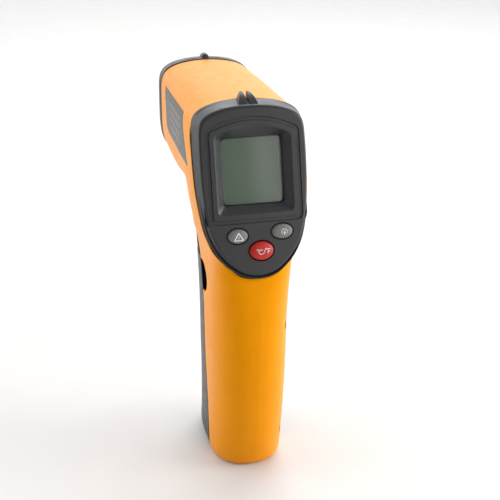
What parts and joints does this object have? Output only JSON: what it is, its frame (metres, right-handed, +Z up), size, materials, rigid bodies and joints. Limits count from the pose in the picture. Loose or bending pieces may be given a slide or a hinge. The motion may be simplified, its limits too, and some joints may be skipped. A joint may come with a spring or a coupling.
{
  "type": "infrared thermometer",
  "caption": "Pistol-grip infrared thermometer with a leaning display, push buttons, hinged battery door, sprung trigger and a round infrared aperture in its nose.",
  "frame": {"origin": "centre of the bounding box, on the floor the base stands on", "axes": "+Z up along the grip, +Y out of the nose towards what is measured, +X to the right of a person holding it"},
  "size_m": [0.045, 0.101, 0.1522],
  "materials": {
    "yellow_plastic": "yellow-orange moulded plastic with a fine satin texture",
    "dark_plastic": "dark grey moulded plastic with a fine grain",
    "black_plastic": "black moulded plastic",
    "black_label": "printed dark film",
    "grey_rubber": "speckled grey silicone rubber",
    "red_rubber": "red silicone rubber",
    "black_rubber": "zebra strip",
    "lcd_glass": "grey-green display glass",
    "clear_window": "clear moulded window",
    "white_diffuser": "milky white plastic",
    "circuit_board": "green solder mask",
    "steel": "nickel-plated steel",
    "brass": "turned brass",
    "battery_can": "sleeved can",
    "infrared_lens": "cloudy moulded lens",
    "red_lead": "insulated wire",
    "black_lead": "insulated wire"
  },
  "bodies": {
    "body": {"left_shell": "yellow_plastic", "right_shell": "yellow_plastic", "rear_bezel": "dark_plastic", "nose_bezel": "dark_plastic", "door_hinge_pin": "steel", "trigger_pin": "steel", "trigger_spring": "steel", "trigger_switch": "black_plastic", "display_window": "clear_window", "lcd_panel": "lcd_glass", "backlight_panel": "white_diffuser", "lcd_contact_strip": "black_rubber", "lcd_frame": "white_diffuser", "main_board": "circuit_board", "laser_switch": "black_plastic", "backlight_switch": "black_plastic", "units_switch": "black_plastic", "lens_funnel": "black_plastic", "infrared_lens": "infrared_lens", "thermopile_sensor": "steel", "sensor_board": "circuit_board", "laser_module": "brass", "laser_lens": "clear_window", "battery_tray": "black_plastic", "battery_1": "battery_can", "battery_2": "battery_can", "contact_bridge": "steel", "contact_positive": "steel", "contact_negative": "steel", "spring_contact_1": "steel", "spring_contact_2": "steel", "label_left": "black_label", "label_right": "black_label", "shell_screw_1": "steel", "shell_screw_2": "steel", "shell_screw_3": "steel", "shell_screw_4": "steel", "board_screw_1": "steel", "board_screw_2": "steel", "lead_positive": "red_lead", "lead_negative": "black_lead", "lead_sensor": "black_lead", "lead_laser": "red_lead"},
    "trigger": {"trigger": "dark_plastic"},
    "door": {"battery_door": "dark_plastic"},
    "laser_key": {"laser_button": "grey_rubber"},
    "backlight_key": {"backlight_button": "grey_rubber"},
    "units_key": {"units_button": "red_rubber"}
  },
  "joints": [
    {"name": "trigger_hinge", "type": "hinge", "parent": "body", "child": "trigger", "pos_m": [0, 0.0068, 0.1051], "axis": [-1, 0, 0], "range_deg": [0, 5.5], "stiffness_Nm_per_rad": 0.3, "springref_deg": -4.58},
    {"name": "door_hinge", "type": "hinge", "parent": "body", "child": "door", "pos_m": [0, -0.0072, 0.0047], "axis": [-1, 0, 0], "range_deg": [0, 70]},
    {"name": "laser_press", "type": "slide", "parent": "body", "child": "laser_key", "axis": [0, 0.9575, -0.2884], "range_m": [0, 0.00045], "stiffness_N_per_m": 1500, "springref_m": -0.0005},
    {"name": "backlight_press", "type": "slide", "parent": "body", "child": "backlight_key", "axis": [0, 0.9575, -0.2884], "range_m": [0, 0.00045], "stiffness_N_per_m": 1500, "springref_m": -0.0005},
    {"name": "units_press", "type": "slide", "parent": "body", "child": "units_key", "axis": [0, 0.9575, -0.2884], "range_m": [0, 0.00045], "stiffness_N_per_m": 1500, "springref_m": -0.0005}
  ]
}
